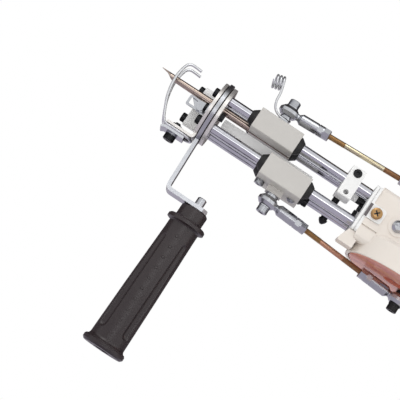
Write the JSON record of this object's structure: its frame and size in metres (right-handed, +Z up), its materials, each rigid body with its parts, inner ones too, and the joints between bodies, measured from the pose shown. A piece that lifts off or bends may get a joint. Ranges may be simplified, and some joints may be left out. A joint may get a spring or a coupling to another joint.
{
  "type": "tufting tool",
  "caption": "Hand-held tufting gun: hollow needle and scissor carriages on four guide shafts, driven from a crank by ball-jointed rods, with front grip and pistol handle.",
  "frame": {"origin": "middle of the bounding box on the surface that the two handles stand on", "axes": "+Z up, +X from the needle to the body, +Y away from the side that the picture shows"},
  "size_m": [0.381, 0.0838, 0.2497],
  "materials": {
    "zinc_plate": "satin zinc plate",
    "polished_shaft": "ground and polished",
    "bright_steel": "bright turned steel",
    "needle_steel": "polished drawn tube",
    "black_oxide": "black oxide",
    "grey_aluminium": "fine bead blasted, clear anodised",
    "white_aluminium": "white powder coat",
    "yellow_zinc": "yellow zinc plate",
    "black_rubber": "matte",
    "black_grip": "moulded, slight sheen",
    "ivory_shell": "moulded, semi gloss",
    "cast_frame": "as cast",
    "motor_steel": "rolled can",
    "armature": "wound copper",
    "board_green": "coated board",
    "dark_gasket": "fibre gasket"
  },
  "bodies": {
    "frame": {"back_disc": "zinc_plate", "disc_gasket": "dark_gasket", "handle_bracket": "zinc_plate", "front_disc": "zinc_plate", "presser_foot": "zinc_plate", "foot_clamp_plate": "zinc_plate", "grip_stud": "zinc_plate", "front_grip": "black_grip", "scissor_mount_block": "white_aluminium", "fixed_blade": "bright_steel", "shaft_bridge": "white_aluminium", "rear_plates": "white_aluminium", "side_tab_screws": "yellow_zinc", "near_shell": "ivory_shell", "far_shell": "ivory_shell", "shell_screws": "zinc_plate", "gear_frame": "cast_frame", "crank_bearings": "bright_steel", "trigger_switch": "black_grip", "speed_board": "board_green", "power_inlet": "black_grip", "foot_clamp_fasteners": "black_oxide", "blade_fasteners": "black_oxide", "bridge_tie_rod": "black_oxide", "motor_casing": "motor_steel", "shaft_screws": "black_oxide", "guide_shaft_set": "polished_shaft", "bridge_bolts": "black_oxide"},
    "crank": {"crankshaft": "bright_steel", "upper_crank_disc": "yellow_zinc", "lower_crank_disc": "yellow_zinc", "bevel_gear": "bright_steel"},
    "rotor": {"motor_rotor": "armature", "bevel_pinion": "bright_steel", "cooling_fan": "black_grip"},
    "needle_carriage": {"needle_block": "grey_aluminium", "needle_bearings": "bright_steel", "needle_bearing_seals": "black_rubber", "needle_shank": "needle_steel", "needle": "needle_steel", "yarn_guide": "zinc_plate", "needle_block_screws": "bright_steel", "needle_pivot_ball": "bright_steel"},
    "scissor_carriage": {"scissor_block": "grey_aluminium", "scissor_bearings": "bright_steel", "scissor_bearing_seals": "black_rubber", "push_bar": "white_aluminium", "scissor_rear_screw": "black_oxide", "scissor_block_screws": "bright_steel", "scissor_pivot_ball": "bright_steel"},
    "needle_rod": {"needle_rod_bar": "yellow_zinc", "needle_rod_joints": "zinc_plate", "needle_crank_pin": "bright_steel"},
    "scissor_rod": {"scissor_rod_bar": "yellow_zinc", "scissor_rod_joints": "zinc_plate", "scissor_crank_pin": "bright_steel"},
    "blade": {"moving_blade": "bright_steel"},
    "trigger": {"trigger": "black_grip"},
    "knob": {"speed_knob": "black_grip"}
  },
  "joints": [
    {"name": "crank_turn", "type": "hinge", "parent": "frame", "child": "crank", "pos_m": [0.04325, 0, 0.1945], "axis": [0, 0, 1], "continuous": true},
    {"name": "motor_turn", "type": "hinge", "parent": "frame", "child": "rotor", "pos_m": [0.11885, 0, 0.1945], "axis": [1, 0, 0], "continuous": true},
    {"name": "needle_slide", "type": "slide", "parent": "frame", "child": "needle_carriage", "axis": [1, 0, 0], "range_m": [-0.01455, 0.01745]},
    {"name": "scissor_slide", "type": "slide", "parent": "frame", "child": "scissor_carriage", "axis": [1, 0, 0], "range_m": [-0.02791, 0.00409]},
    {"name": "needle_rod_swing", "type": "hinge", "parent": "needle_carriage", "child": "needle_rod", "pos_m": [-0.09175, 0, 0.228], "axis": [0, 0, 1], "range_deg": [-0.08, 13.68]},
    {"name": "scissor_rod_swing", "type": "hinge", "parent": "scissor_carriage", "child": "scissor_rod", "pos_m": [-0.06775, 0, 0.1614], "axis": [0, 0, 1], "range_deg": [-12.72, 2.24]},
    {"name": "blade_swing", "type": "hinge", "parent": "frame", "child": "blade", "pos_m": [-0.14975, -0.00265, 0.1917], "axis": [0, 1, 0], "range_deg": [-22.8, 3.6]},
    {"name": "trigger_press", "type": "slide", "parent": "frame", "child": "trigger", "axis": [1, 0, 0], "range_m": [0, 0.005], "stiffness_N_per_m": 400, "springref_m": -0.003},
    {"name": "knob_turn", "type": "hinge", "parent": "frame", "child": "knob", "pos_m": [0.16709, 0, 0.0825], "axis": [1, 0, 0], "range_deg": [0, 270]}
  ],
  "couplings": [
    {"joint": "motor_turn", "follows": "crank_turn", "ratio": 3}
  ]
}
